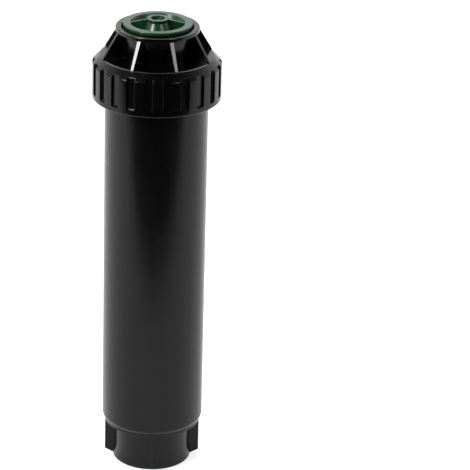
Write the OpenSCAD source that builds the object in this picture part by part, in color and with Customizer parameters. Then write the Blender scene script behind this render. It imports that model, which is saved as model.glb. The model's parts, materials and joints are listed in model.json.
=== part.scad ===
// Pop-up spray sprinkler with an adjustable nozzle, drawn with its riser down.
// The origin is the centre of the inlet's lower face, and +Z runs up the pop-up axis.
// The front is -Y.

/* [Case] */
// Outside diameter of the case tube
case_d = 33.8; // [33.4:0.1:34]
// Wall thickness of the case tube
case_wall = 2.3; // [2.2:0.05:2.35]
// Outside diameter of the inlet boss
boss_d = 25.7; // [25:0.1:28]
// Height of the inlet boss
boss_h = 13.8; // [13:0.1:14.5]
// Diameter of the inlet's bore, across the crests of its 1/2 inch pipe thread
inlet_d = 18.6; // [18:0.1:19]
// Reach of the wrench fins from the axis
fin_reach = 16; // [15:0.1:16.2]
// Thickness of a wrench fin
fin_t = 1.9; // [1:0.1:3]

/* [Cap] */
// Outside diameter of the cap's skirt
cap_d = 42.2; // [41.6:0.1:44]
// Height of the cap's skirt
skirt_h = 11.8; // [11.5:0.1:12.4]
// Number of finger grooves round the skirt
grooves = 22; // [12:1:28]
// Width of a finger groove
groove_w = 2.8; // [1.5:0.1:3.2]
// Height of the cap's nose above its deck
nose_h = 9.65; // [9.4:0.05:9.75]
// Outside diameter of the ring on top of the nose
nose_ring_d = 27.3; // [26.5:0.1:29]
// Number of buttress ribs round the nose
buttresses = 8; // [4:1:12]
// Thickness of a buttress rib
buttress_t = 1.5; // [1:0.1:2.5]

/* [Riser] */
// Outside diameter of the riser stem
stem_d = 19; // [18.6:0.1:19.1]
// Height that the riser pops up, which sets the height of the case
stroke = 110; // [100:1:160]
// Diameter of the riser's foot flange
foot_d = 26.6; // [25:0.1:27]
// Number of guide ribs inside the case
guides = 4; // [2:1:6]

/* [Spring] */
// Wire diameter of the retraction spring
wire_d = 1.1; // [0.8:0.05:1.2]
// Diameter of the spring's coil at the middle of its wire
coil_d = 25.8; // [25.4:0.1:26]
// Number of turns
turns = 8; // [6:0.5:8]

/* [Nozzle] */
// Diameter of the nozzle's top flange
flange_d = 22.6; // [22:0.1:23]
// Largest diameter of the arc collar
collar_d = 19.7; // [19.3:0.1:19.8]
// Diameter of the nozzle's threaded base
base_d = 19.5; // [19.2:0.1:19.6]
// Number of grooves round the nozzle's base
base_flutes = 34; // [20:1:40]
// Number of grooves round the arc collar
collar_flutes = 36; // [20:1:44]
// Number of teeth under the flange
teeth = 26; // [16:1:32]
// Travel of the throttle as its screw is turned right in
throttle_travel = 2; // [0.5:0.1:2]

/* [Filter] */
// Length of the filter basket
filter_h = 35; // [20:1:60]
// Outside diameter of the filter basket
filter_d = 13.8; // [13.4:0.1:14]

/* [Hidden] */

$fn = 96;

black = "#1c1c1e";
charcoal = "#232428";
green = "#2f6b4d";
rubber = "#2b2b2b";
steel = "#b4b6b8";
clear_grey = "#8b9094";

// Angle of the front
front = 270;
// Clearance where one piece beds on another
bed = 0.05;
// Clearance between sliding faces
slide = 0.1;
// Radial play of a running fit
play = 0.08;
// Overlap that joins two solids of one piece
weld = 0.5;
// Reach of a cutter past the face that it opens
past = 1;

// Case. Above the stroke it holds the foot, the ratchet ring and the closed spring.
case_h = stroke + 30.8;
case_r = case_d / 2;
bore_r = case_r - case_wall;
boss_r = boss_d / 2;
inlet_r = inlet_d / 2;
inlet_chamfer = 0.6;
edge = 0.3;
floor_z0 = boss_h + 0.4;
floor_z1 = boss_h + 2.2;
floor_hole_r = 8.2;
step_r = case_r - 0.75;
step_h = 1.2;
step_chamfer = 1;
boss_lip_r = boss_r + 0.35;
boss_lip_h = 1.2;
boss_flare_h = 3.4;
neck_z = case_h - 9;
neck_r = case_r + 0.4;
neck_thread_r = neck_r + 0.8;
thread_pitch = 2.2;
neck_thread_z = case_h - 7.4;
neck_threads = 3;
fin_drop = 1.7;
guide_w = 1.6;
guide_r = bore_r - 0.7;

// Cap
cap_r = cap_d / 2;
cap_z0 = case_h - 10.2;
cap_z1 = cap_z0 + skirt_h;
skirt_in_r = neck_thread_r + 0.3;
shoulder = 2.65;
deck_z = cap_z1 + shoulder;
deck_r = cap_r - shoulder;
ceiling_z = case_h + 2.6;
core_r0 = 11.3;
core_r1 = 12.5;
nose_z = deck_z + nose_h;
nose_ring_r = nose_ring_d / 2;
nose_ring_t = 1.4;
nose_mouth_r = flange_d / 2 + 0.4;
nose_bore_r = collar_d / 2 + 0.35;
mouth_z = nose_z - 5.75;
groove_depth = 0.9;
groove_z0 = cap_z0 + 1.9;
// Turn of the cap as it is screwed home
rib_turn = -3;
groove_turn = 1;

// Seal and its retainer, clamped between the case rim and the cap
retainer_z0 = case_h + bed;
seal_z0 = case_h + 1.1;
seal_z1 = ceiling_z - slide;
lip_r = collar_d / 2 + 0.12;
retainer_r = lip_r + 0.5;
seal_r = skirt_in_r - 0.5;

// Riser
stem_r = stem_d / 2;
stem_in_r = stem_r - 1.6;
neck_in_r = 7.2;
riser_neck_r = 8.3;
riser_thread_r = 8.7;
base_z = case_h - 6.4;
riser_neck_z = base_z + 4.2;
foot_z0 = floor_z1 + 0.9;
foot_z1 = foot_z0 + 1.7;
foot_r = foot_d / 2;
ring_z0 = foot_z1 + slide;
ring_z1 = ring_z0 + 2.2;
ring_r = bore_r - 0.35;
stem_bevel = 0.5;
base_seal_z0 = floor_z1 + slide;
base_seal_r = foot_r - 0.4;
clip_r = 9.4;
clip_t = 0.5;

// Spring
wire_r = wire_d / 2;
spring_z0 = ring_z1 + bed;
spring_z1 = retainer_z0;
closed_turns = 0.75;
closed_pitch = wire_d * 1.15;
wire_sides = 8;
turn_steps = 24;

// Nozzle
base_z1 = base_z + 6.5;
base_roof_z = base_z1 - 0.9;
base_r = base_d / 2;
base_bore_r = riser_thread_r + 0.15;
column_r = 6;
column_in_r = 5.2;
column_z1 = base_z1 + 6.6;
boss_z1 = base_z1 + 2.1;
spigot_r = 2;
collar_r = collar_d / 2;
collar_foot_r = collar_r - 0.3;
collar_z0 = base_z1 + 0.15;
collar_z1 = collar_z0 + 7.2;
collar_lip_z = collar_z1 + 1;
collar_lip_r = collar_r - 1.15;
flange_r = flange_d / 2;
flange_z1 = base_z + 21.5;
flange_t = 1.25;
dish_r0 = 6.9;
dish_r1 = 8.9;
dish_z = flange_z1 - 4.7;
hub_z = flange_z1 + 1.4;
hub_r0 = 5.8;
hub_r1 = 3.5;
recess_r = 2.25;
funnel_z = flange_z1 - 2.4;
funnel_r = flange_r - 1.2;
under_z = dish_z - 1.2;
under_r = dish_r0 + 1.1;
tooth_in_r = collar_lip_r + 0.25;
tooth_r = collar_r + 0.15;
tooth_tip_z = collar_z1 + 1.4;
web_t = 0.8;

// Throttle and its screw
screw_r = 1.25;
screw_hole_r = screw_r + play / 2;
screw_head_r = 1.9;
screw_head_z0 = hub_z - 2.3;
screw_head_z1 = hub_z - 1;
recess_z = screw_head_z0 - throttle_travel - slide;
guide_tube_r0 = 2.95;
guide_tube_r1 = 3.5;
guide_tube_z0 = base_roof_z - 3.8;
plug_r = 2.6;
plug_z1 = base_roof_z - 0.2;
plug_z0 = plug_z1 - 1.9;
plug_tip_z = plug_z0 - 1.3;
screw_z0 = plug_z0 + 0.3;

// Filter
filter_r = filter_d / 2;
filter_collar_z1 = riser_neck_z + 0.65;
seat_z0 = base_z - 0.2;
seat_t = 0.8;
basket_z1 = base_z - 3.4;
basket_z0 = basket_z1 - filter_h;
mesh_r = filter_r - 0.85;

module ring(r_in, r_out, z0, z1) {
    rotate_extrude()
        translate([r_in, z0])
            square([r_out - r_in, z1 - z0]);
}

module around(count, start = 0) {
    for (i = [0:count - 1])
        rotate(start + i * 360 / count)
            children();
}

// An outline of radius and height, stood up as a plate across the axis
module plate(thickness) {
    rotate([90, 0, 0])
        linear_extrude(thickness, center = true)
            children();
}

// Thread turns drawn as closed rings, standing out from r_root to r_crest
module thread(r_root, r_crest, z0, count, pitch) {
    half = pitch * 0.36;
    tip = pitch * 0.12;
    for (i = [0:count - 1])
        rotate_extrude()
            translate([0, z0 + i * pitch])
                polygon([
                    [r_root, -half], [r_crest, -tip],
                    [r_crest, tip], [r_root, half]
                ]);
}

module body_case() {
    color(black) {
        rotate_extrude()
            polygon([
                [inlet_r + inlet_chamfer, 0],
                [boss_lip_r - edge, 0],
                [boss_lip_r, edge],
                [boss_lip_r, boss_lip_h],
                [boss_r, boss_flare_h],
                [boss_r, boss_h],
                [step_r, boss_h],
                [step_r, boss_h + step_h],
                [case_r, boss_h + step_h + step_chamfer],
                [case_r, neck_z],
                [neck_r, neck_z + 1],
                [neck_r, case_h],
                [bore_r, case_h],
                [bore_r, floor_z1 + 2],
                [bore_r - 0.8, floor_z1],
                [floor_hole_r, floor_z1],
                [floor_hole_r, floor_z0],
                [inlet_r, floor_z0],
                [inlet_r, inlet_chamfer]
            ]);
        around(4)
            plate(fin_t)
                polygon([
                    [boss_r - weld, 0.2],
                    [boss_lip_r, 0.2],
                    [fin_reach, fin_drop],
                    [fin_reach, boss_h + weld],
                    [boss_r - weld, boss_h + weld]
                ]);
        around(guides, 45)
            translate([guide_r, -guide_w / 2, ring_z0 - 0.5])
                cube([bore_r + weld - guide_r, guide_w, case_h - 2 - ring_z0]);
        thread(neck_r - 0.2, neck_thread_r, neck_thread_z, neck_threads, thread_pitch);
    }
}

module cap() {
    color(black)
        difference() {
            union() {
                rotate_extrude()
                    polygon([
                        [skirt_in_r, cap_z0],
                        [cap_r - edge, cap_z0],
                        [cap_r, cap_z0 + edge],
                        [cap_r, cap_z1],
                        [deck_r, deck_z],
                        [core_r0, deck_z],
                        [core_r1, nose_z - nose_ring_t],
                        [nose_ring_r - edge, nose_z - nose_ring_t],
                        [nose_ring_r, nose_z - nose_ring_t + edge],
                        [nose_ring_r, nose_z - edge],
                        [nose_ring_r - edge, nose_z],
                        [nose_mouth_r, nose_z],
                        [nose_mouth_r, nose_z - 1],
                        [nose_bore_r, mouth_z],
                        [nose_bore_r, ceiling_z],
                        [skirt_in_r, ceiling_z]
                    ]);
                around(buttresses, front + 180 / buttresses + rib_turn)
                    plate(buttress_t)
                        polygon([
                            [core_r0 - 0.4, deck_z - weld],
                            [deck_r + 0.2, deck_z - weld],
                            [deck_r + 0.2, deck_z - 0.2],
                            [nose_ring_r - 0.1, nose_z - nose_ring_t + edge],
                            [core_r1 - 0.3, nose_z - nose_ring_t + edge]
                        ]);
                thread(skirt_in_r + 0.2, neck_r + 0.2, neck_thread_z + thread_pitch / 2,
                    neck_threads, thread_pitch);
            }
            around(grooves, front + 180 / grooves + groove_turn)
                translate([cap_r - groove_depth, -groove_w / 2, groove_z0])
                    cube([groove_depth + past, groove_w, skirt_h + past]);
        }
}

module wiper_seal() {
    color(rubber)
        rotate_extrude()
            polygon([
                [seal_r, seal_z0],
                [seal_r, seal_z1],
                [lip_r + 0.3, seal_z1],
                [lip_r, seal_z1 - 0.3],
                [lip_r, seal_z1 - 0.7],
                [lip_r + 0.7, seal_z0 + 0.4],
                [lip_r + 1.6, seal_z0]
            ]);
}

module seal_retainer() {
    color(charcoal)
        difference() {
            ring(retainer_r, seal_r - 0.6, retainer_z0, seal_z0 - bed);
            around(12)
                translate([(bore_r + retainer_r) / 2 - 1.4, 0, retainer_z0 + 0.5])
                    cylinder(r = 0.7, h = past);
        }
}

function spring_z(turn) =
    let (closed = closed_turns * closed_pitch)
    let (low = spring_z0 + wire_r)
    let (high = spring_z1 - wire_r)
    turn < closed_turns ? low + turn * closed_pitch
    : turn > turns - closed_turns ? high - (turns - turn) * closed_pitch
    : low + closed + (high - low - 2 * closed) * (turn - closed_turns) / (turns - 2 * closed_turns);

// A helix of wire: one ring of points for each step, joined by triangles and closed at its ends
module retraction_spring() {
    steps = turns * turn_steps;
    points = [
        for (i = [0:steps], j = [0:wire_sides - 1])
            let (turn = i / turn_steps)
            let (side = 360 * (j + 0.5) / wire_sides)
            let (r = coil_d / 2 + wire_r * cos(side))
            [r * cos(360 * turn), r * sin(360 * turn), spring_z(turn) + wire_r * sin(side)]
    ];
    walls = [
        for (i = [0:steps - 1], j = [0:wire_sides - 1])
            let (k = (j + 1) % wire_sides)
            let (a = i * wire_sides)
            let (b = a + wire_sides)
            each [[a + j, a + k, b + k], [a + j, b + k, b + j]]
    ];
    first_end = [for (j = [wire_sides - 1:-1:0]) j];
    last_end = [for (j = [0:wire_sides - 1]) steps * wire_sides + j];
    color(steel)
        polyhedron(points, concat([first_end, last_end], walls));
}

module ratchet_ring() {
    color(charcoal)
        difference() {
            ring(stem_r + play, ring_r, ring_z0, ring_z1);
            around(guides, 45)
                translate([guide_r - 0.35, -guide_w / 2 - 0.35, ring_z0 - past])
                    cube([past + 1, guide_w + 0.7, ring_z1 - ring_z0 + 2 * past]);
            // Slots that free the two click fingers
            around(2, 90)
                translate([stem_r + 1.6, -3.5, ring_z0 - past])
                    cube([0.8, 7, ring_z1 - ring_z0 + 2 * past]);
        }
}

module riser_stem() {
    color(charcoal) {
        rotate_extrude()
            polygon([
                [stem_in_r, foot_z0],
                [foot_r - edge, foot_z0],
                [foot_r, foot_z0 + edge],
                [foot_r, foot_z1],
                [stem_r, foot_z1],
                [stem_r, base_z - stem_bevel],
                [stem_r - stem_bevel, base_z],
                [riser_neck_r, base_z],
                [riser_neck_r, riser_neck_z],
                [neck_in_r, riser_neck_z],
                [neck_in_r, basket_z1 - 0.4],
                [stem_in_r, basket_z1 - 2.4]
            ]);
        thread(riser_neck_r - 0.1, riser_thread_r, base_z + 1.1, 3, 1.3);
    }
}

module riser_base_seal() {
    color(rubber)
        rotate_extrude()
            polygon([
                [clip_r + bed, base_seal_z0],
                [base_seal_r, base_seal_z0],
                [base_seal_r, foot_z0 - bed / 2],
                [stem_in_r + 0.1, foot_z0 - bed / 2],
                [stem_in_r + 0.1, base_seal_z0 + clip_t + bed],
                [clip_r + bed, base_seal_z0 + clip_t + bed]
            ]);
}

module base_seal_clip() {
    color(charcoal) {
        ring(stem_in_r - 1, clip_r, base_seal_z0, base_seal_z0 + clip_t);
        ring(stem_in_r - 1, stem_in_r - bed, base_seal_z0, foot_z1 + 1.5);
    }
}

module filter_collar() {
    color(charcoal) {
        ring(neck_in_r - 0.9, riser_neck_r - 0.1, riser_neck_z + bed, filter_collar_z1);
        ring(neck_in_r - 0.9, neck_in_r - slide, basket_z1 + bed, filter_collar_z1);
        ring(plug_r + 0.4, neck_in_r - slide, seat_z0, seat_z0 + seat_t);
    }
}

module filter_basket() {
    inner = filter_r - 0.8;
    hoops = 4;
    spacing = (filter_h - 1) / hoops;
    color(charcoal) {
        for (i = [0:hoops])
            ring(inner, filter_r, basket_z0 + i * spacing, basket_z0 + i * spacing + 1);
        ring(0, filter_r, basket_z0, basket_z0 + 0.9);
        around(6)
            translate([inner + 0.1, -0.5, basket_z0])
                cube([0.6, 1, filter_h]);
    }
}

module filter_mesh() {
    color(clear_grey)
        ring(mesh_r - 0.3, mesh_r, basket_z0 + 0.95, basket_z1 - 0.1);
}

module nozzle_gasket() {
    color(rubber)
        ring(neck_in_r - 0.8, riser_neck_r - 0.1, filter_collar_z1, base_roof_z - bed);
}

module nozzle_base() {
    flute_r = 0.4;
    color(green)
        difference() {
            union() {
                rotate_extrude()
                    polygon([
                        [base_bore_r, base_z + bed],
                        [base_r - edge, base_z + bed],
                        [base_r, base_z + bed + edge],
                        [base_r, base_z1 - edge],
                        [base_r - edge, base_z1],
                        [column_r, base_z1],
                        [column_r, column_z1],
                        [column_in_r, column_z1],
                        [column_in_r, base_z1],
                        [guide_tube_r0, base_z1],
                        [guide_tube_r0, boss_z1],
                        [spigot_r, boss_z1],
                        [spigot_r, boss_z1 + 2],
                        [screw_hole_r, boss_z1 + 2],
                        [screw_hole_r, base_roof_z],
                        [base_bore_r, base_roof_z]
                    ]);
                ring(guide_tube_r0, guide_tube_r1, guide_tube_z0, base_roof_z + 0.3);
            }
            around(base_flutes)
                translate([base_r + 0.1, 0, base_z + 0.9])
                    cylinder(r = flute_r, h = base_z1 - base_z - 1.6, $fn = 16);
            // Waterways through the roof
            around(8, 22.5)
                translate([(column_in_r + guide_tube_r1) / 2, 0, base_roof_z - past])
                    cylinder(r = 0.7, h = 2 * past + 1, $fn = 24);
            // Slots that keep the throttle plug from turning
            around(2)
                translate([0, -0.8, guide_tube_z0 - past])
                    cube([guide_tube_r1 + past, 1.6, base_roof_z - guide_tube_z0 + past]);
        }
}

module arc_seal() {
    color(rubber)
        ring(column_r + bed, collar_lip_r - 0.6, base_z1, collar_z0 + 0.6);
}

module arc_collar() {
    sleeve_r = column_r + 0.9;
    wall_in_r = collar_lip_r - 0.2;
    color(black)
        difference() {
            rotate_extrude()
                polygon([
                    [wall_in_r, collar_z0],
                    [collar_foot_r - edge, collar_z0],
                    [collar_foot_r, collar_z0 + edge],
                    [collar_r, collar_z1 - edge],
                    [collar_r - edge, collar_z1],
                    [collar_lip_r, collar_z1 + 0.1],
                    [collar_lip_r, collar_lip_z - 0.4],
                    [collar_lip_r - 0.4, collar_lip_z],
                    [column_r + play, collar_lip_z],
                    [column_r + play, collar_z0 + 1],
                    [sleeve_r, collar_z0 + 1],
                    [sleeve_r, collar_z1 - 0.4],
                    [wall_in_r, collar_z1 - 0.4]
                ]);
            around(collar_flutes)
                translate([collar_r + 0.05, 0, collar_z0 + 0.8])
                    cylinder(r = 0.42, h = collar_z1 - collar_z0, $fn = 16);
            // The spray slot, open over the arc that the collar is set to
            rotate(front)
                rotate_extrude(angle = 180)
                    translate([column_r + 1.3, collar_z1 - past])
                        square([0.6, 3 * past]);
        }
}

module nozzle_deflector() {
    color(green) {
        rotate_extrude()
            polygon([
                [recess_r, hub_z],
                [hub_r1, hub_z],
                [hub_r1, hub_z - 0.6],
                [hub_r1 - 0.3, hub_z - 0.9],
                [hub_r0, dish_z],
                [dish_r0, dish_z],
                [dish_r1, flange_z1],
                [flange_r - edge, flange_z1],
                [flange_r, flange_z1 - edge],
                [flange_r, flange_z1 - flange_t + edge],
                [flange_r - edge, flange_z1 - flange_t],
                [flange_r - 0.6, flange_z1 - flange_t],
                [funnel_r, funnel_z],
                [tooth_in_r, funnel_z - 0.1],
                [under_r, under_z],
                [guide_tube_r0, under_z],
                [guide_tube_r0, boss_z1],
                [spigot_r + bed, boss_z1],
                [spigot_r + bed, boss_z1 + 3.2],
                [screw_hole_r, boss_z1 + 3.2],
                [screw_hole_r, recess_z],
                [recess_r, recess_z]
            ]);
        around(teeth)
            rotate([90, 0, 90])
                translate([0, 0, tooth_in_r])
                    linear_extrude(tooth_r - tooth_in_r)
                        polygon([
                            [-0.75, funnel_z + 0.4],
                            [-0.3, tooth_tip_z],
                            [0.3, tooth_tip_z],
                            [0.75, funnel_z + 0.4]
                        ]);
        around(2)
            plate(web_t)
                polygon([
                    [hub_r1 - 0.6, dish_z - 0.4],
                    [dish_r0 + 0.4, dish_z - 0.4],
                    [dish_r1 + 0.3, flange_z1 - 0.15],
                    [hub_r1 - 0.4, hub_z - 0.3]
                ]);
    }
}

module screw_o_ring() {
    color(rubber)
        ring(screw_hole_r, spigot_r, boss_z1 + 2.2, boss_z1 + 3.1);
}

module throttle_plug() {
    color(charcoal) {
        rotate_extrude()
            polygon([
                [0, plug_tip_z],
                [1.2, plug_tip_z],
                [plug_r, plug_z0],
                [plug_r, plug_z1],
                [screw_hole_r, plug_z1],
                [screw_hole_r, screw_z0 - slide],
                [0, screw_z0 - slide]
            ]);
        around(2)
            translate([plug_r - weld, -0.5, plug_z1 - 1.2])
                cube([guide_tube_r1 - plug_r + weld - 0.1, 1, 1]);
    }
}

module radius_screw() {
    color(steel)
        difference() {
            rotate_extrude()
                polygon([
                    [0, screw_z0],
                    [screw_r - 0.2, screw_z0],
                    [screw_r, screw_z0 + 0.2],
                    [screw_r, screw_head_z0],
                    [screw_head_r, screw_head_z0],
                    [screw_head_r, screw_head_z1 - 0.2],
                    [screw_head_r - 0.2, screw_head_z1],
                    [0, screw_head_z1]
                ]);
            translate([-screw_head_r - past, -0.3, screw_head_z1 - 0.7])
                cube([2 * (screw_head_r + past), 0.6, past]);
        }
}

body_case();
cap();
wiper_seal();
seal_retainer();
retraction_spring();
ratchet_ring();
riser_stem();
riser_base_seal();
base_seal_clip();
filter_collar();
filter_basket();
filter_mesh();
nozzle_gasket();
nozzle_base();
arc_seal();
arc_collar();
nozzle_deflector();
screw_o_ring();
throttle_plug();
radius_screw();
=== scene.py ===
"""Pop-up spray sprinkler: its visible pieces, finishes, floor, lights and camera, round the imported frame."""

import json
import math
from contextlib import contextmanager

import bmesh
import bpy
from mathutils import Matrix, Vector


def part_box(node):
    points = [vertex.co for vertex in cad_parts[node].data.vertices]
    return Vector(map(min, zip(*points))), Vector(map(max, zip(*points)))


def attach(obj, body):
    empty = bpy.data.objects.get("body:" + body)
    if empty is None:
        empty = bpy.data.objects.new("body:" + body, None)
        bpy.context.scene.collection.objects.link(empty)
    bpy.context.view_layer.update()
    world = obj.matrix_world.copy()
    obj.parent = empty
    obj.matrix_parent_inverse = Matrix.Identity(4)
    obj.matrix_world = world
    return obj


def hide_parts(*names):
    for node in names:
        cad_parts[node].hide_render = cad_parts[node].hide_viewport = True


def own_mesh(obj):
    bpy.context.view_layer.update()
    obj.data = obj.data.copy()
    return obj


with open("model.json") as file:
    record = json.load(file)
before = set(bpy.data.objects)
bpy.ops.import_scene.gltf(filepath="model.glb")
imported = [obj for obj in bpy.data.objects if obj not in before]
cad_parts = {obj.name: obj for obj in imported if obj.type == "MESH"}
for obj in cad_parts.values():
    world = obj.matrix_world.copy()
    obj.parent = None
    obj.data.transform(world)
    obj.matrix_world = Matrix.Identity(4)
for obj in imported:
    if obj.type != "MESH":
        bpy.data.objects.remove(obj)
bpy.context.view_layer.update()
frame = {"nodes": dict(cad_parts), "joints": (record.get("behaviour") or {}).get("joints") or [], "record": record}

bl_info = {
    "name": "Pop-up Sprinkler",
    "version": (1, 0, 0),
    "blender": (4, 5, 0),
    "location": "View3D > Sidebar > Sprinkler",
    "description": "Builds a pop-up spray sprinkler with its finishes, floor, lights and camera",
    "category": "Add Mesh",
}

MM = 0.001
FULL_TURN = 2 * math.pi
FRONT = -90.0
AXIS_STEPS = 132
FINE_STEPS = 96
DOUBLE = 0.0005


# ---------------------------------------------------------------- frame

def top(node):
    """Height of a CAD node's highest point, in millimetres."""
    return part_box(node)[1].z / MM


def bottom(node):
    """Height of a CAD node's lowest point, in millimetres."""
    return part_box(node)[0].z / MM


def reach(node):
    """Distance of a CAD node's outermost point from the axis along Y, in millimetres."""
    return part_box(node)[1].y / MM


# ---------------------------------------------------------------- modelling

def clear_selection():
    if bpy.context.mode != "OBJECT":
        bpy.ops.object.mode_set(mode="OBJECT")
    bpy.ops.object.select_all(action="DESELECT")


def activate(obj):
    clear_selection()
    obj.select_set(True)
    bpy.context.view_layer.objects.active = obj


@contextmanager
def editing(obj, kind="VERT"):
    """Edit mode on one object, with nothing of it selected."""
    activate(obj)
    bpy.ops.object.mode_set(mode="EDIT")
    bpy.ops.mesh.select_mode(type=kind)
    bpy.ops.mesh.select_all(action="DESELECT")
    yield obj
    bpy.ops.object.mode_set(mode="OBJECT")


def pick_vertices(obj, wanted):
    """Selects, in edit mode, the vertices whose place passes the test."""
    mesh = bmesh.from_edit_mesh(obj.data)
    for vertex in mesh.verts:
        vertex.select_set(bool(wanted(vertex.co)))
    mesh.select_flush_mode()
    bmesh.update_edit_mesh(obj.data)


def shift(x=0.0, y=0.0, z=0.0):
    bpy.ops.transform.translate(value=(x * MM, y * MM, z * MM))


def point(name):
    """A new mesh of one selected vertex at the origin, left in edit mode."""
    clear_selection()
    bpy.ops.mesh.primitive_plane_add(size=MM)
    obj = bpy.context.object
    obj.name = obj.data.name = name
    bpy.ops.object.mode_set(mode="EDIT")
    bpy.ops.mesh.select_mode(type="VERT")
    bpy.ops.mesh.select_all(action="SELECT")
    bpy.ops.mesh.merge(type="CENTER")
    return obj


def trace(name, outline, plane="XZ", closed=True):
    """Draws an outline by extruding a vertex from corner to corner, then rounds corners that give a radius.

    A corner is (across, up) or (across, up, rounding), in millimetres. The mesh is left in edit mode.
    """
    def place(corner):
        return (corner[0], 0.0, corner[1]) if plane == "XZ" else (0.0, corner[0], corner[1])

    obj = point(name)
    shift(*place(outline[0]))
    for before, after in zip(outline, outline[1:]):
        step = [(b - a) * MM for a, b in zip(place(before), place(after))]
        bpy.ops.mesh.extrude_region_move(TRANSFORM_OT_translate={"value": step})
    if closed:
        mesh = bmesh.from_edit_mesh(obj.data)
        ends = [v for v in mesh.verts if len(v.link_edges) < 2]
        for vertex in mesh.verts:
            vertex.select_set(vertex in ends)
        bmesh.update_edit_mesh(obj.data)
        bpy.ops.mesh.edge_face_add()
    for corner in outline:
        if len(corner) > 2 and corner[2] > 0:
            spot = Vector(place(corner)) * MM
            pick_vertices(obj, lambda co, spot=spot: (co - spot).length < 0.002 * MM)
            bpy.ops.mesh.bevel(offset=corner[2] * MM, segments=3, affect="VERTICES")
    return obj


def heal(obj, gap=DOUBLE):
    """Merges doubles and turns every face outwards."""
    with editing(obj):
        bpy.ops.mesh.select_all(action="SELECT")
        bpy.ops.mesh.remove_doubles(threshold=gap * MM)
        bpy.ops.mesh.normals_make_consistent(inside=False)
    return obj


def lathe(name, outline, steps=AXIS_STEPS, closed=True):
    """Spins an outline of (radius, height) round the sprinkler's axis."""
    obj = trace(name, outline, closed=closed)
    bpy.ops.mesh.select_all(action="SELECT")
    bpy.ops.mesh.spin(steps=steps, angle=FULL_TURN, center=(0, 0, 0), axis=(0, 0, 1))
    bpy.ops.object.mode_set(mode="OBJECT")
    return heal(obj)


def slab(name, outline, thickness, plane="XZ", start=None):
    """Fills an outline and extrudes it: centred on its plane, or onwards from start."""
    obj = trace(name, outline, plane)
    bpy.ops.mesh.select_all(action="SELECT")
    bpy.ops.mesh.edge_face_add()
    offset = -thickness / 2 if start is None else start
    across = (0, 1, 0) if plane == "XZ" else (1, 0, 0)
    shift(*(offset * a for a in across))
    step = [thickness * MM * a for a in across]
    bpy.ops.mesh.extrude_region_move(TRANSFORM_OT_translate={"value": step})
    bpy.ops.object.mode_set(mode="OBJECT")
    return heal(obj)


def block(name, low, high):
    """A box between two corners, in millimetres."""
    clear_selection()
    bpy.ops.mesh.primitive_cube_add(size=1)
    obj = bpy.context.object
    obj.name = obj.data.name = name
    bpy.ops.object.mode_set(mode="EDIT")
    bpy.ops.mesh.select_all(action="SELECT")
    size = [(b - a) * MM for a, b in zip(low, high)]
    bpy.ops.transform.resize(value=size, center_override=(0, 0, 0))
    shift(*((a + b) / 2 for a, b in zip(low, high)))
    bpy.ops.object.mode_set(mode="OBJECT")
    return obj


def turn(obj, degrees):
    """Turns a mesh round the axis, counter-clockwise from above."""
    with editing(obj):
        bpy.ops.mesh.select_all(action="SELECT")
        bpy.ops.transform.rotate(
            value=-math.radians(degrees), orient_axis="Z", center_override=(0, 0, 0))
    return obj


def ring_of(obj, count, first=0.0):
    """Repeats a mesh evenly round the axis, with the first copy at an angle in degrees."""
    turn(obj, first)
    with editing(obj):
        bpy.ops.mesh.select_all(action="SELECT")
        bpy.ops.mesh.spin(
            steps=count - 1, angle=FULL_TURN * (count - 1) / count,
            center=(0, 0, 0), axis=(0, 0, 1), dupli=True)
    return obj


def apply_modifier(obj, kind, **settings):
    activate(obj)
    bpy.ops.object.modifier_add(type=kind)
    modifier = obj.modifiers[-1]
    for name, value in settings.items():
        setattr(modifier, name, value)
    bpy.ops.object.modifier_apply(modifier=modifier.name)


def combine(obj, other, operation):
    apply_modifier(obj, "BOOLEAN", operation=operation, solver="EXACT", object=other)
    bpy.data.objects.remove(other)
    return obj


def cut(obj, cutter):
    return combine(obj, cutter, "DIFFERENCE")


def fuse(obj, other):
    return combine(obj, other, "UNION")


def soften(obj, width, segments=2, angle=35.0, clamp=True):
    """Rounds every edge sharper than an angle."""
    apply_modifier(
        obj, "BEVEL", width=width * MM, segments=segments, limit_method="ANGLE",
        angle_limit=math.radians(angle), use_clamp_overlap=clamp, miter_outer="MITER_ARC")
    return obj


def smooth(obj, angle=32.0):
    """Shades a piece smooth up to an angle, with its large faces left flat and true."""
    activate(obj)
    bpy.ops.object.shade_smooth_by_angle(angle=math.radians(angle))
    apply_modifier(
        obj, "WEIGHTED_NORMAL", mode="FACE_AREA_WITH_ANGLE", weight=100, keep_sharp=True)
    return obj


def helix(name, profile, pitch, turns, steps=FINE_STEPS, sides=None):
    """Sweeps a closed profile of (radius, height) up a helix and closes its two ends."""
    if sides:
        radius, centre = profile
        profile = [
            (centre[0] + radius * math.cos(FULL_TURN * i / sides),
             centre[1] + radius * math.sin(FULL_TURN * i / sides)) for i in range(sides)]
    obj = trace(name, profile)
    bpy.ops.object.mode_set(mode="OBJECT")
    whole = max(1, int(turns))
    apply_modifier(
        obj, "SCREW", axis="Z", angle=FULL_TURN * turns / whole, screw_offset=pitch * MM * turns / whole,
        iterations=whole, steps=steps, render_steps=steps, use_merge_vertices=False)
    with editing(obj, "EDGE"):
        bpy.ops.mesh.select_all(action="SELECT")
        bpy.ops.mesh.remove_doubles(threshold=DOUBLE * MM)
        bpy.ops.mesh.select_all(action="SELECT")
        bpy.ops.mesh.fill_holes(sides=0)
    return heal(obj)


# ---------------------------------------------------------------- finishes

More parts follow.
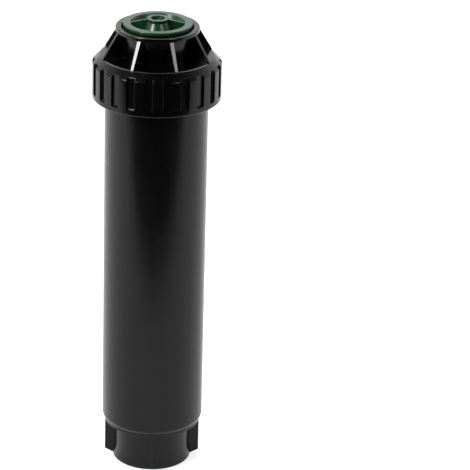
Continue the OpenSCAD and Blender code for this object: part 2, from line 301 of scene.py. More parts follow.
class Value:
    """A shader socket that Python's own operators extend with Math nodes."""

    def __init__(self, look, socket):
        self.look = look
        self.socket = socket

    def math(self, operation, *others):
        values = dict(enumerate((self, *others)))
        return self.look.add("ShaderNodeMath", {"operation": operation}, values)

    def __add__(self, other):
        return self.math("ADD", other)

    def __sub__(self, other):
        return self.math("SUBTRACT", other)

    def __mul__(self, other):
        return self.math("MULTIPLY", other)

    def __truediv__(self, other):
        return self.math("DIVIDE", other)

    def __radd__(self, other):
        return self + other

    def __rmul__(self, other):
        return self * other

    def __rsub__(self, other):
        return self.look.add("ShaderNodeMath", {"operation": "SUBTRACT"}, {0: other, 1: self})

    def ramp(self, low, high):
        """0 below low, 1 above high, and even between."""
        return self.look.add(
            "ShaderNodeMapRange", {"clamp": True}, {"Value": self, "From Min": low, "From Max": high})


class Nodes:
    """A node tree that is built up node by node."""

    def __init__(self, owner, coordinates):
        owner.use_nodes = True
        self.owner = owner
        self.tree = owner.node_tree
        self.tree.nodes.clear()
        self.place = self.add("ShaderNodeTexCoord", out=coordinates)

    def add(self, kind, settings=None, values=None, out=0):
        """Any node: its type, its settings, then the values or links of its sockets."""
        node = self.tree.nodes.new(kind)
        for name, value in (settings or {}).items():
            setattr(node, name, value)
        for name, value in (values or {}).items():
            if isinstance(value, Value):
                self.tree.links.new(value.socket, node.inputs[name])
            else:
                node.inputs[name].default_value = value
        return None if out is None else Value(self, node.outputs[out])

    def axes(self):
        """The three coordinates as values of their own."""
        parts = self.add("ShaderNodeSeparateXYZ", None, {"Vector": self.place}).socket.node
        return [Value(self, socket) for socket in parts.outputs]


class Look(Nodes):
    """One material and the nodes that make it."""

    def __init__(self, name):
        super().__init__(bpy.data.materials.new(name), "Object")

    def noise(self, size, detail=3.0, place=None, roughness=0.55):
        """Noise from 0 to 1 whose features are about size across, in millimetres."""
        return self.add(
            "ShaderNodeTexNoise", None,
            {"Vector": place or self.place, "Scale": 1 / (size * MM), "Detail": detail,
             "Roughness": roughness})

    def stretched(self, x=1.0, y=1.0, z=1.0):
        """The object's coordinates, scaled along each axis."""
        return self.add("ShaderNodeMapping", None, {"Vector": self.place, "Scale": (x, y, z)})

    def mix(self, factor, first, second):
        node = self.add("ShaderNodeMix", {"data_type": "RGBA"}, out=2).socket.node
        for index, value in ((0, factor), (6, first), (7, second)):
            if isinstance(value, Value):
                self.tree.links.new(value.socket, node.inputs[index])
            else:
                node.inputs[index].default_value = value if index == 0 else (*value, 1.0)
        return Value(self, node.outputs[2])

    def bump(self, height, depth):
        """A normal from a height of 0 to 1 that stands for depth millimetres."""
        values = {"Height": height, "Distance": depth * MM, "Strength": 1.0}
        return self.add("ShaderNodeBump", None, values)

    def finish(self, **sockets):
        values = {name.replace("_", " "): value for name, value in sockets.items()}
        shader = self.add("ShaderNodeBsdfPrincipled", None, values)
        self.add("ShaderNodeOutputMaterial", None, {"Surface": shader}, out=None)
        return self.owner


def tint(colour, factor):
    return tuple(min(1.0, channel * factor) for channel in colour[:3])


def moulded_plastic(name, colour, roughness, grain, streaks=0.5, index=1.4):
    """Moulded plastic: a clouded colour, flow streaks along the draw, fine grain and light scuffs."""
    look = Look(name)
    cloud = look.noise(9.0, 4.0)
    streak = look.noise(1.6, 3.0, look.stretched(z=0.06))
    skin = look.noise(0.35, 2.0)
    scuff = look.noise(3.2, 8.0, look.stretched(z=0.35), 0.75).ramp(0.6, 0.78)
    shade = cloud * 0.6 + streak * 0.4
    clean = look.mix(shade, tint(colour, 0.78), tint(colour, 1.24))
    worn = look.mix(scuff * 0.22, clean, tint([c + 0.004 for c in colour[:3]], 1.6))
    gloss = roughness + (cloud - 0.5) * 0.08 + (streak - 0.5) * (0.16 * streaks) + scuff * 0.12
    relief = skin * 0.7 + streak * (0.5 * streaks)
    return look.finish(
        Base_Color=worn, Roughness=gloss, Normal=look.bump(relief, grain), IOR=index)


def moulded_rubber(name, colour):
    """Soft black rubber with a bloom and a fine matt grain."""
    look = Look(name)
    bloom = look.noise(4.0, 5.0).ramp(0.42, 0.75)
    grain = look.noise(0.18, 2.0)
    tone = look.mix(bloom, tint(colour, 0.85), tint([c + 0.012 for c in colour[:3]], 1.3))
    return look.finish(
        Base_Color=tone, Roughness=0.62 + bloom * 0.16, Normal=look.bump(grain, 0.02))


def drawn_steel(name, colour):
    """Drawn stainless wire or a turned screw, with fine lines and a few dull patches."""
    look = Look(name)
    lines = look.noise(0.12, 3.0, look.stretched(z=8.0))
    patch = look.noise(2.5, 4.0).ramp(0.5, 0.72)
    tone = look.mix(patch, colour[:3], tint(colour, 0.72))
    return look.finish(
        Base_Color=tone, Metallic=1.0, Roughness=0.24 + lines * 0.14 + patch * 0.12,
        Normal=look.bump(lines, 0.004))


def woven_screen(name, colour, radius, pitch):
    """Woven polyester wrapped round the filter: threads over and under, with open holes between."""
    look = Look(name)
    x, y, z = look.axes()
    around = y.math("ARCTAN2", x) * (radius * MM)
    warp = (around * (FULL_TURN / (pitch * MM))).math("COSINE")
    weft = (z * (FULL_TURN / (pitch * MM))).math("COSINE")
    thread = warp.math("MAXIMUM", weft)
    solid = thread.ramp(0.1, 0.3)
    over = (warp * weft * 0.5 + 0.5)
    # Painted shade: the screen's colour is painted lighter where the threads cross and darker along the threads
    # between crossings, as the weave's relief would be lit
    tone = look.mix(over, tint(colour, 0.7), tint(colour, 1.15))
    return look.finish(
        Base_Color=tone, Roughness=0.5 + over * 0.15, Alpha=solid,
        Normal=look.bump(thread, 0.05))


def dress(obj, body, slot, finish, *nodes):
    """Gives a finished piece its material, its body and the CAD nodes it stands for; its slot is not used."""
    obj.data.materials.clear()
    obj.data.materials.append(finish)
    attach(obj, body)
    if nodes:
        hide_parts(*nodes)
    clear_selection()
    return obj


def body_of_node(node):
    bodies = frame["record"]["behaviour"]["bodies"]
    return next(name for name, nodes in bodies.items() if node in nodes)


def finish_for(slot):
    """The finish of one of the record's material slots, made once and shared by its pieces."""
    colours = bpy.context.scene.sprinkler_finishes
    name = slot + "_finish"
    makers = {
        "case_plastic": lambda: moulded_plastic(name, colours.case, 0.24, 0.003, index=1.33),
        "cap_plastic": lambda: moulded_plastic(name, colours.cap, 0.19, 0.003, 0.35, 1.37),
        "riser_plastic": lambda: moulded_plastic(name, colours.riser, 0.26, 0.0015, index=1.36),
        "collar_black": lambda: moulded_plastic(name, colours.collar, 0.30, 0.004),
        "nozzle_green": lambda: moulded_plastic(name, colours.green, 0.3, 0.004, 0.3, 1.45),
        "filter_plastic": lambda: moulded_plastic(name, colours.filter, 0.42, 0.008),
        "filter_mesh": lambda: woven_screen(name, colours.screen, reach("filter_mesh"), 0.62),
        "seal_rubber": lambda: moulded_rubber(name, colours.rubber),
        "stainless": lambda: drawn_steel(name, colours.steel),
    }
    return bpy.data.materials.get(name) or makers[slot]()


def make_piece(obj, node, slot, angle=32.0):
    """Shades a piece, names its finish and lets it stand for a CAD node."""
    smooth(obj, angle)
    return dress(obj, body_of_node(node), slot, finish_for(slot), node)


# ---------------------------------------------------------------- sizes and colours

def size_setting(name, description, default):
    return bpy.props.FloatProperty(
        name=name, description=description, default=default * MM, min=0.0, unit="LENGTH", precision=5)


def count_setting(name, description, default):
    return bpy.props.IntProperty(name=name, description=description, default=default, min=1)


def angle_setting(name, description, default):
    return bpy.props.FloatProperty(
        name=name, description=description, default=math.radians(default), subtype="ANGLE")


def colour_setting(name, default):
    return bpy.props.FloatVectorProperty(
        name=name, description=name + ", in linear light", subtype="COLOR", size=3,
        default=default, min=0.0, max=1.0)


class SprinklerCase(bpy.types.PropertyGroup):
    wall: size_setting("Tube wall", "Thickness of the case tube", 2.3)
    boss: size_setting("Inlet boss", "Radius of the inlet boss", 12.85)
    boss_height: size_setting("Inlet boss height", "Height of the inlet boss", 13.8)
    tube: size_setting("Tube", "Outside radius of the case tube", 16.9)
    bore: size_setting("Inlet bore", "Radius across the crests of the inlet's thread", 9.3)
    fin: size_setting("Fin thickness", "Thickness of a wrench fin", 1.9)
    fin_reach: size_setting("Fin reach", "Distance from the axis to a fin's outer edge", 16.0)


class SprinklerCap(bpy.types.PropertyGroup):
    grooves: count_setting("Grooves", "Finger grooves round the skirt", 22)
    groove_width: size_setting("Groove width", "Width of a finger groove", 2.8)
    groove_depth: size_setting("Groove depth", "Depth of a finger groove", 0.9)
    buttresses: count_setting("Buttresses", "Ribs round the nose", 8)
    buttress: size_setting("Buttress thickness", "Thickness of a rib", 1.5)
    rib_turn: angle_setting("Rib turn", "Turn of the ribs with the cap screwed home", -3.0)
    groove_turn: angle_setting("Groove turn", "Turn of the grooves with the cap screwed home", 1.0)


class SprinklerRiser(bpy.types.PropertyGroup):
    stem: size_setting("Stem", "Outside radius of the riser stem", 9.5)
    wire: size_setting("Spring wire", "Radius of the spring's wire", 0.55)
    coil: size_setting("Spring coil", "Radius of the spring at the middle of its wire", 12.9)
    turns: count_setting("Spring turns", "Turns of the retraction spring", 8)


class SprinklerNozzle(bpy.types.PropertyGroup):
    base_flutes: count_setting("Base flutes", "Flutes round the nozzle's base", 34)
    collar_flutes: count_setting("Collar flutes", "Flutes round the arc collar", 36)
    teeth: count_setting("Teeth", "Teeth under the flange", 26)


class SprinklerFinishes(bpy.types.PropertyGroup):
    case: colour_setting("Case black", (0.0012, 0.0012, 0.0013))
    cap: colour_setting("Cap black", (0.0009, 0.0009, 0.0009))
    riser: colour_setting("Riser charcoal", (0.0035, 0.0038, 0.0048))
    collar: colour_setting("Collar black", (0.004, 0.0037, 0.004))
    green: colour_setting("Nozzle green", (0.0046, 0.0345, 0.0122))
    filter: colour_setting("Filter grey", (0.03, 0.03, 0.032))
    screen: colour_setting("Screen grey", (0.32, 0.34, 0.36))
    rubber: colour_setting("Seal rubber", (0.02, 0.02, 0.021))
    steel: colour_setting("Stainless steel", (0.55, 0.55, 0.56))


class SprinklerStage(bpy.types.PropertyGroup):
    distance: bpy.props.FloatProperty(
        name="Camera distance", description="Level distance from the axis to the camera",
        default=0.8505, unit="LENGTH")
    height: bpy.props.FloatProperty(
        name="Camera height", description="Height of the camera above the floor",
        default=0.4479, unit="LENGTH")
    pitch: angle_setting("Camera pitch", "Angle that the camera looks down", 23.29)
    heading: angle_setting("Camera heading", "Angle that the camera looks to the right of the axis", 1.80)
    roll: angle_setting("Camera roll", "Angle that the camera leans", 1.57)
    lens: bpy.props.FloatProperty(
        name="Lens", description="Focal length in millimetres on a 36 mm sensor", default=213.25)


# ---------------------------------------------------------------- pieces

class SPRINKLER_OT_case(bpy.types.Operator):
    """Build the case: its tube, floor, inlet boss, wrench fins, guide ribs and threads"""
    bl_idname = "sprinkler.case"
    bl_label = "Case"
    bl_options = {"REGISTER", "UNDO"}

    def execute(self, context):
        sizes = context.scene.sprinkler_case
        wall, boss, boss_z = sizes.wall / MM, sizes.boss / MM, sizes.boss_height / MM
        bore, tube, fin_reach = sizes.bore / MM, sizes.tube / MM, sizes.fin_reach / MM
        rim, base = top("body_case"), bottom("body_case")
        inner = tube - wall
        neck = tube + 0.4
        neck_z = rim - 9.0
        floor_z = boss_z + 2.2
        thread_root = bore + 1.0
        step, lip = tube - 0.75, boss + 0.35
        case = lathe("sprinkler_case", [
            (thread_root + 0.4, base, 0.1),
            (lip, base, 0.45),
            (lip, base + 1.2, 1.0),
            (boss, base + 3.6, 1.4),
            (boss, boss_z, 0.3),
            (step, boss_z, 0.35),
            (step, boss_z + 1.2, 0.1),
            (tube, boss_z + 2.2, 0.6),
            (tube, neck_z),
            (neck, neck_z + 1.0),
            (neck, rim, 0.3),
            (inner, rim, 0.3),
            (inner, floor_z + 2.0),
            (inner - 0.8, floor_z, 0.3),
            (bore - 1.1, floor_z, 0.25),
            (bore - 1.1, floor_z - 1.8, 0.25),
            (thread_root, floor_z - 1.8, 0.1),
            (thread_root, base + 0.5),
        ])
        fins = slab("fins", [
            (boss - 1.0, base + 0.25),
            (lip - 0.1, base + 0.25),
            (fin_reach, base + 1.75, 0.25),
            (fin_reach, boss_z + 0.5),
            (boss - 1.0, boss_z + 0.5),
        ], sizes.fin / MM)
        soften(fins, 0.2)
        fuse(case, ring_of(fins, 4))
        guides = block(
            "guides", (inner - 0.7, -0.8, floor_z + 2.2), (inner + 0.5, 0.8, rim - 2.0))
        fuse(case, ring_of(guides, 4, 45.0))
        inlet_thread = helix("inlet_thread", [
            (thread_root + 0.1, base + 0.55), (bore, base + 1.15),
            (bore, base + 1.4), (thread_root + 0.1, base + 2.0)], 1.814, 6)
        fuse(case, inlet_thread)
        neck_thread = helix("neck_thread", [
            (neck - 0.1, neck_z + 1.2), (neck + 0.8, neck_z + 1.75),
            (neck + 0.8, neck_z + 2.25), (neck - 0.1, neck_z + 2.8)], 2.2, 2.5)
        fuse(case, neck_thread)
        make_piece(case, "body_case", "case_plastic")
        return {"FINISHED"}


class SPRINKLER_OT_cap(bpy.types.Operator):
    """Build the screw cap: its grooved skirt, deck, nose and buttress ribs"""
    bl_idname = "sprinkler.cap"
    bl_label = "Cap"
    bl_options = {"REGISTER", "UNDO"}

    def execute(self, context):
        sizes = context.scene.sprinkler_cap
        base, nose = bottom("cap"), top("cap")
        skirt = reach("cap") - 0.01
        thread_r = 18.4
        skirt_z = base + 11.8
        shoulder = 2.65
        deck_z, deck_r = skirt_z + shoulder, skirt - shoulder
        ceiling = base + 12.8
        core_low, core_high = 11.3, 12.5
        ring_r, ring_z = 13.65, nose - 1.4
        mouth = 11.7
        rib_turn, groove_turn = math.degrees(sizes.rib_turn), math.degrees(sizes.groove_turn)
        bore = 10.2
        cap = lathe("sprinkler_cap", [
            (thread_r, base, 0.2),
            (skirt, base, 0.45),
            (skirt, skirt_z, 0.18),
            (deck_r, deck_z, 0.35),
            (core_low, deck_z, 0.5),
            (core_high, ring_z, 0.2),
            (ring_r, ring_z, 0.3),
            (ring_r, nose, 0.4),
            (mouth, nose, 0.25),
            (mouth, nose - 1.0, 0.3),
            (bore, nose - 5.75, 0.3),
            (bore, ceiling, 0.2),
            (thread_r, ceiling, 0.2),
        ])
        ribs = slab("ribs", [
            (core_low - 0.4, deck_z - 0.5),
            (deck_r - 0.1, deck_z - 0.5),
            (deck_r + 0.35, deck_z - 0.1, 0.3),
            (ring_r - 0.05, ring_z + 0.25, 0.2),
            (core_high - 0.4, ring_z + 0.25),
        ], sizes.buttress / MM)
        with editing(ribs):
            pick_vertices(ribs, lambda co: co.z < (deck_z + 1.0) * MM)
            bpy.ops.transform.resize(value=(1.0, 0.76, 1.0), center_override=(0, 0, 0))
        soften(ribs, 0.16, 2)
        fuse(cap, ring_of(ribs, sizes.buttresses, FRONT + 180 / sizes.buttresses + rib_turn))
        depth, half = sizes.groove_depth / MM, sizes.groove_width / MM / 2
        cutter = block(
            "grooves", (skirt - depth, -half, base + 1.9), (skirt + 2.0, half, deck_z + 2.0))
        soften(cutter, 0.4, 3)
        cut(cap, ring_of(cutter, sizes.grooves, FRONT + 180 / sizes.grooves + groove_turn))
        soften(cap, 0.12, 2, 40.0, clamp=False)
        make_piece(cap, "cap", "cap_plastic")
        return {"FINISHED"}


class SPRINKLER_OT_riser(bpy.types.Operator):
    """Build the riser stem with its foot flange and threaded neck"""
    bl_idname = "sprinkler.riser"
    bl_label = "Riser stem"
    bl_options = {"REGISTER", "UNDO"}

    def execute(self, context):
        stem = context.scene.sprinkler_riser.stem / MM
        foot, neck = bottom("riser_stem"), top("riser_stem")
        foot_r = reach("riser_stem")
        shoulder = neck - 4.2
        inner, neck_in, neck_r = stem - 1.6, 7.2, 8.3
        riser = lathe("riser_stem_visual", [
            (inner, foot, 0.2),
            (foot_r, foot, 0.3),
            (foot_r, foot + 1.7, 0.3),
            (stem, foot + 1.7, 0.3),
            (stem, shoulder - 0.55, 0.15),
            (stem - 0.5, shoulder, 0.12),
            (neck_r, shoulder, 0.1),
            (neck_r, neck, 0.2),
            (neck_in, neck, 0.2),
            (neck_in, shoulder - 3.8, 0.2),
            (inner, shoulder - 5.8, 0.2),
        ])
        thread = helix("neck_thread", [
            (neck_r - 0.1, shoulder + 0.3), (8.7, shoulder + 0.6),
            (8.7, shoulder + 0.8), (neck_r - 0.1, shoulder + 1.1)], 1.3, 2.25)
        fuse(riser, thread)
        make_piece(riser, "riser_stem", "riser_plastic")
        return {"FINISHED"}


class SPRINKLER_OT_nozzle_base(bpy.types.Operator):
    """Build the nozzle's fluted green base and the column inside it"""
    bl_idname = "sprinkler.nozzle_base"
    bl_label = "Nozzle base"
    bl_options = {"REGISTER", "UNDO"}

    def execute(self, context):
        flutes = context.scene.sprinkler_nozzle.base_flutes
        base_r = reach("nozzle_base")
        low = top("riser_stem") - 4.15
        high = low + 6.45
        roof = high - 0.9
        column, column_in = 6.0, 5.2
        spigot_z = high + 2.1
        hole, seat, tube_in, tube_out, skirt_in = 1.29, 2.0, 2.95, 3.5, 8.85
        base = lathe("nozzle_base_visual", [
            (skirt_in, low, 0.1),
            (base_r, low, 0.2),
            (base_r, high - 0.75, 0.15),
            (base_r - 0.4, high, 0.2),
            (column, high, 0.15),
            (column, top("nozzle_base"), 0.15),
            (column_in, top("nozzle_base"), 0.15),
            (column_in, high, 0.1),
            (tube_in, high, 0.1),
            (tube_in, spigot_z, 0.1),
            (seat, spigot_z),
            (seat, spigot_z + 2.0, 0.1),
            (hole, spigot_z + 2.0),
            (hole, roof),
            (tube_in, roof),
            (tube_in, bottom("nozzle_base"), 0.1),
            (tube_out, bottom("nozzle_base"), 0.1),
            (tube_out, roof, 0.1),
            (skirt_in, roof, 0.1),
        ], steps=136)
        flute = block("flutes", (base_r - 0.42, -0.42, low + 0.55), (base_r + 1.0, 0.42, high - 0.6))
        soften(flute, 0.28, 3)
        cut(base, ring_of(flute, flutes, FRONT + 180 / flutes))
        slots = block("slots", (0.5, -0.8, bottom("nozzle_base") - 1), (5.0, 0.8, roof - 0.2))
        cut(base, ring_of(slots, 2))
        waterway = block("waterways", (3.7, -0.65, roof - 0.5), (5.05, 0.65, high + 0.5))
        soften(waterway, 0.3, 2)
        cut(base, ring_of(waterway, 8, 22.5))
        make_piece(base, "nozzle_base", "nozzle_green")
        return {"FINISHED"}


class SPRINKLER_OT_arc_collar(bpy.types.Operator):
    """Build the black arc collar with its flutes and sleeve"""
    bl_idname = "sprinkler.arc_collar"
    bl_label = "Arc collar"
    bl_options = {"REGISTER", "UNDO"}

    def execute(self, context):
        flutes = context.scene.sprinkler_nozzle.collar_flutes
        outer = reach("arc_collar")
        low, high = bottom("arc_collar"), top("arc_collar")
        shelf = high - 1.0
        lip = outer - 1.15
        sleeve_in, sleeve_out, shell_in = 6.08, 6.9, lip - 0.2
        collar = lathe("arc_collar_visual", [
            (shell_in, low, 0.1),
            (outer - 0.45, low, 0.25),
            (outer - 0.05, low + 1.3, 0.2),
            (outer, shelf, 0.15),
            (lip + 0.05, shelf + 0.1, 0.1),
            (lip - 0.1, high, 0.2),
            (sleeve_in, high, 0.1),
            (sleeve_in, low + 1.0, 0.1),
            (sleeve_out, low + 1.0, 0.1),
            (sleeve_out, shelf - 0.4, 0.1),
            (shell_in, shelf - 0.4, 0.1),
        ], steps=144)
        flute = slab("flutes", [
            (outer - 0.55, low + 0.9, 0.1),
            (outer + 1.0, low + 0.5),
            (outer + 1.0, shelf + 0.8),
            (outer - 0.75, shelf + 0.8),
        ], 0.86)
        soften(flute, 0.25, 3)
        cut(collar, ring_of(flute, flutes, FRONT + 180 / flutes))
        make_piece(collar, "arc_collar", "collar_black")
        return {"FINISHED"}


class SPRINKLER_OT_deflector(bpy.types.Operator):
    """Build the green deflector: flange, dish, hub, webs, teeth and pointer"""
    bl_idname = "sprinkler.deflector"
    bl_label = "Deflector"
    bl_options = {"REGISTER", "UNDO"}

    def execute(self, context):
        teeth = context.scene.sprinkler_nozzle.teeth
        hub_z, low = top("nozzle_deflector"), bottom("nozzle_deflector")
        rim_z = hub_z - 1.4
        rim_r = reach("nozzle_deflector")
        dish_z = rim_z - 4.7
        under_z = dish_z - 1.2
        tooth_in, tooth_out = 8.95, 10.0
        hole, socket, column, hub = 1.29, 2.25, 2.95, 3.5
        deflector = lathe("nozzle_deflector_visual", [
            (socket, hub_z, 0.12),
            (hub, hub_z, 0.2),
            (hub, hub_z - 0.6, 0.15),
            (3.2, hub_z - 0.9, 0.3),
            (5.8, dish_z, 0.5),
            (6.9, dish_z, 0.4),
            (8.9, rim_z, 0.3),
            (rim_r, rim_z, 0.35),
            (rim_r, rim_z - 1.25, 0.35),
            (rim_r - 0.7, rim_z - 1.3, 0.25),
            (rim_r - 1.2, rim_z - 2.4, 0.1),
            (tooth_in, rim_z - 2.5, 0.1),
            (8.0, under_z, 0.2),
            (column, under_z, 0.2),
            (column, low, 0.1),
            (2.05, low),
            (2.05, low + 3.2),
            (hole, low + 3.2),
            (hole, hub_z - 4.4),
            (socket, hub_z - 4.4, 0.1),
        ])
        tooth = slab("teeth", [
            (-0.85, rim_z - 2.1),
            (-0.62, rim_z - 3.2, 0.3),
            (-0.3, rim_z - 6.1, 0.1),
            (0.3, rim_z - 6.1, 0.1),
            (0.62, rim_z - 3.2, 0.3),
            (0.85, rim_z - 2.1),
        ], tooth_out - tooth_in, "YZ", tooth_in)
        soften(tooth, 0.1)
        fuse(deflector, ring_of(tooth, teeth, FRONT))
        web = slab("webs", [
            (3.0, dish_z - 0.4),
            (7.2, dish_z - 0.4),
            (9.15, rim_z - 0.25),
            (3.0, hub_z - 0.3),
        ], 0.75)
        soften(web, 0.15)
        fuse(deflector, ring_of(web, 2))
        pointer = slab("pointer", [
            (-rim_r + 0.8, rim_z - 1.0),
            (-rim_r - 0.5, rim_z - 1.0, 0.2),
            (-rim_r - 0.5, rim_z - 0.2, 0.2),
            (-rim_r + 0.8, rim_z - 0.1),
        ], 1.1)
        soften(pointer, 0.15)
        fuse(deflector, pointer)
        make_piece(deflector, "nozzle_deflector", "nozzle_green")
        return {"FINISHED"}


class SPRINKLER_OT_screw(bpy.types.Operator):
    """Build the radius screw with its slotted head"""
    bl_idname = "sprinkler.screw"
    bl_label = "Radius screw"
    bl_options = {"REGISTER", "UNDO"}

    def execute(self, context):
        low, high = bottom("radius_screw"), top("radius_screw")
        head_r, shank_r = reach("radius_screw"), 1.2
        head_z = high - 1.3
        screw = lathe("radius_screw_visual", [
            (0.0, low),
            (shank_r - 0.35, low),
            (shank_r, low + 0.35),
            (shank_r, head_z, 0.1),
            (head_r, head_z, 0.15),
            (head_r, high - 0.35, 0.3),
            (head_r * 0.55, high),
            (0.0, high),
        ], steps=64, closed=False)
        slot = block("slot", (-head_r - 1, -0.3, high - 0.75), (head_r + 1, 0.3, high + 1))
        cut(screw, slot)
        soften(screw, 0.06, 2, 40.0)
        make_piece(screw, "radius_screw", "stainless")
        return {"FINISHED"}


class SPRINKLER_OT_spring(bpy.types.Operator):
    """Build the retraction spring"""
    bl_idname = "sprinkler.spring"
    bl_label = "Retraction spring"
    bl_options = {"REGISTER", "UNDO"}

    def execute(self, context):
        sizes = context.scene.sprinkler_riser
        wire, coil, turns = sizes.wire / MM, sizes.coil / MM, sizes.turns
        low, high = bottom("retraction_spring"), top("retraction_spring")
        pitch = (high - low - 2 * wire) / turns
        spring = helix(
            "retraction_spring_visual", (wire, (coil, low + wire)), pitch, turns, 64, sides=12)
        make_piece(spring, "retraction_spring", "stainless", 60.0)
        stroke = next(j for j in frame["joints"] if j["name"] == "pop_up")["range_m"][1]
        length = (high - low) * MM
        (length - stroke) / length
        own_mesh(spring)
        return {"FINISHED"}


class SPRINKLER_OT_filter(bpy.types.Operator):
    """Build the filter basket's frame and its woven screen"""
    bl_idname = "sprinkler.filter"
    bl_label = "Filter"
    bl_options = {"REGISTER", "UNDO"}

    def execute(self, context):
        low, high = bottom("filter_basket"), top("filter_basket")
        outer = reach("filter_basket")
        inner = outer - 0.8
        basket = lathe("filter_basket_visual", [
            (0.0, low + 0.9),
            (inner - 0.2, low + 0.9, 0.2),
            (inner, low + 1.2),
            (inner, high, 0.15),
            (outer, high, 0.15),
            (outer, low, 0.4),
            (outer - 2.5, low, 0.3),
            (outer - 3.1, low + 0.3, 0.2),
            (0.0, low + 0.3),
        ], steps=FINE_STEPS, closed=False)
        rows = 4
        spacing = (high - low - 1.0) / rows
        for row in range(rows):
            floor = low + row * spacing + 1.3
            window = block("window", (inner - 1, -2.6, floor), (outer + 1, 2.6, floor + spacing - 1.6))
            soften(window, 0.4, 3)
            cut(basket, ring_of(window, 6, 30.0))
        make_piece(basket, "filter_basket", "filter_plastic")
        screen_r = reach("filter_mesh")
        screen = lathe("filter_screen", [
            (screen_r - 0.2, bottom("filter_mesh"), 0.05),
            (screen_r, bottom("filter_mesh"), 0.05),
            (screen_r, top("filter_mesh"), 0.05),
            (screen_r - 0.2, top("filter_mesh"), 0.05),
        ], steps=FINE_STEPS)
        make_piece(screen, "filter_mesh", "filter_mesh")
        return {"FINISHED"}


class SPRINKLER_OT_fittings(bpy.types.Operator):
    """Finish the pieces that keep their CAD shape: seals, rings, clips and the plug"""
    bl_idname = "sprinkler.fittings"
    bl_label = "Inner fittings"
    bl_options = {"REGISTER", "UNDO"}

    def execute(self, context):
        slots = {s["node"]: s["material_slot"] for s in frame["record"]["subparts"]}
        for node, obj in frame["nodes"].items():
            if not obj.hide_render:
                obj.data.materials.clear()
                obj.data.materials.append(finish_for(slots[node]))
        return {"FINISHED"}


# ---------------------------------------------------------------- stage

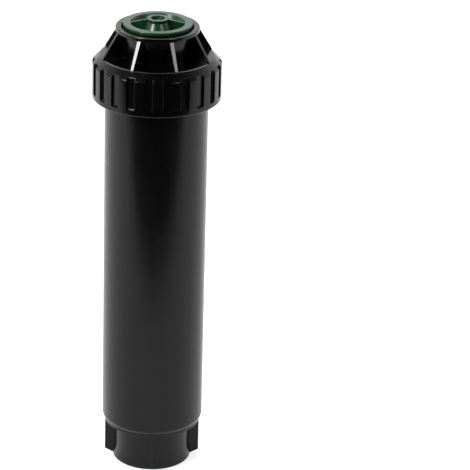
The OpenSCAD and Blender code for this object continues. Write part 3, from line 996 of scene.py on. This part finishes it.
class SPRINKLER_OT_stage(bpy.types.Operator):
    """Lay the pale floor, and set the soft lights and the camera"""
    bl_idname = "sprinkler.stage"
    bl_label = "Floor, lights and camera"
    bl_options = {"REGISTER", "UNDO"}

    def execute(self, context):
        scene = context.scene
        self.floor()
        self.lights()
        self.surroundings(scene)
        self.camera(scene)
        return {"FINISHED"}

    def floor(self):
        clear_selection()
        bpy.ops.mesh.primitive_plane_add(size=1)
        floor = bpy.context.object
        floor.name = floor.data.name = "floor"
        # The floor stops short of the camera, so the plastic mirrors a dark room below its middle
        width, front, back = 5.0, -0.175, 3.0
        bpy.ops.object.mode_set(mode="EDIT")
        bpy.ops.transform.resize(value=(width, back - front, 1), center_override=(0, 0, 0))
        bpy.ops.transform.translate(value=(0, (back + front) / 2, 0))
        bpy.ops.object.mode_set(mode="OBJECT")
        look = Look("floor_paper")
        speck = look.noise(40.0, 3.0)
        floor.data.materials.append(look.finish(
            Base_Color=look.mix(speck, (0.36, 0.36, 0.36), (0.38, 0.38, 0.38)), Roughness=0.8,
            Emission_Color=(1.0, 1.0, 1.0, 1.0), Emission_Strength=0.72))

    def lights(self):
        soft_boxes = (
            ("overhead_light", (0.0, 0.62, 0.95), (0.0, 0.30, 0.0), 1.3, 0.8, 11.0),
            ("key_light", (-0.81, -0.56, 0.85), (0.0, 0.0, 0.14), 0.34, 0.42, 17.0),
            ("fill_light", (0.65, -0.69, 0.88), (0.0, 0.0, 0.14), 0.30, 0.34, 4.2),
        )
        for name, place, target, width, height, power in soft_boxes:
            clear_selection()
            bpy.ops.object.light_add(type="AREA", location=place)
            light = bpy.context.object
            light.name = light.data.name = name
            light.data.shape = "RECTANGLE"
            light.data.size, light.data.size_y = width, height
            light.data.energy = power
            light.rotation_euler = (Vector(target) - Vector(place)).to_track_quat("-Z", "Y").to_euler()

    def surroundings(self, scene):
        """A white studio behind and beside the sprinkler, and a dim room in front of it and above."""
        scene.world = bpy.data.worlds.new("studio")
        studio = Nodes(scene.world, "Generated")
        _, depth, height = studio.axes()
        behind = depth.ramp(-0.45, 0.35)
        overhead = height.ramp(0.45, 0.85)
        strength = (0.03 + behind * 1.28) * (1 - overhead * 0.85)
        white = (1.0, 1.0, 1.0, 1.0)
        room = studio.add("ShaderNodeBackground", None, {"Color": white, "Strength": strength})
        paper = studio.add("ShaderNodeBackground", None, {"Color": white, "Strength": 1.0})
        seen = studio.add("ShaderNodeLightPath", out="Is Camera Ray")
        both = studio.add("ShaderNodeMixShader", None, {0: seen, 1: room, 2: paper})
        studio.add("ShaderNodeOutputWorld", None, {"Surface": both}, out=None)
        scene.view_settings.view_transform = "Standard"
        scene.view_settings.look = "None"

    def camera(self, scene):
        stage = scene.sprinkler_stage
        clear_selection()
        bpy.ops.object.camera_add(location=(0, -stage.distance, stage.height))
        camera = bpy.context.object
        camera.name = "camera"
        turned = (
            Matrix.Rotation(-stage.heading, 3, "Z")
            @ Matrix.Rotation(math.pi / 2 - stage.pitch, 3, "X")
            @ Matrix.Rotation(stage.roll, 3, "Z"))
        camera.rotation_euler = turned.to_euler()
        camera.data.lens = stage.lens
        camera.data.sensor_width = 36.0
        camera.data.clip_start = 0.01
        camera.data.clip_end = 50.0
        scene.camera = camera


# ---------------------------------------------------------------- add-on

PIECES = (
    SPRINKLER_OT_case, SPRINKLER_OT_cap, SPRINKLER_OT_riser, SPRINKLER_OT_nozzle_base,
    SPRINKLER_OT_arc_collar, SPRINKLER_OT_deflector, SPRINKLER_OT_screw, SPRINKLER_OT_spring,
    SPRINKLER_OT_filter, SPRINKLER_OT_fittings, SPRINKLER_OT_stage,
)
GROUPS = {
    "sprinkler_case": SprinklerCase,
    "sprinkler_cap": SprinklerCap,
    "sprinkler_riser": SprinklerRiser,
    "sprinkler_nozzle": SprinklerNozzle,
    "sprinkler_finishes": SprinklerFinishes,
    "sprinkler_stage": SprinklerStage,
}


class SPRINKLER_PT_panel(bpy.types.Panel):
    """The sprinkler's pieces and their sizes"""
    bl_label = "Pop-up Sprinkler"
    bl_idname = "SPRINKLER_PT_panel"
    bl_space_type = "VIEW_3D"
    bl_region_type = "UI"
    bl_category = "Sprinkler"

    def draw(self, context):
        for operator in PIECES:
            self.layout.operator(operator.bl_idname)
        for name, group in GROUPS.items():
            box = self.layout.box()
            box.label(text=name.replace("_", " ").capitalize())
            for prop in group.__annotations__:
                box.prop(getattr(context.scene, name), prop)


def register():
    for group in GROUPS.values():
        bpy.utils.register_class(group)
    for name, group in GROUPS.items():
        setattr(bpy.types.Scene, name, bpy.props.PointerProperty(type=group))
    for cls in (*PIECES, SPRINKLER_PT_panel):
        bpy.utils.register_class(cls)


def unregister():
    for cls in (SPRINKLER_PT_panel, *reversed(PIECES)):
        bpy.utils.unregister_class(cls)
    for name in GROUPS:
        delattr(bpy.types.Scene, name)
    for group in reversed(GROUPS.values()):
        bpy.utils.unregister_class(group)


def main():
    register()
    for operator in PIECES:
        step = getattr(bpy.ops.sprinkler, operator.bl_idname.split(".")[1])
        if step() != {"FINISHED"}:
            raise RuntimeError(operator.bl_label + " did not finish")


if __name__ == "__main__":
    main()
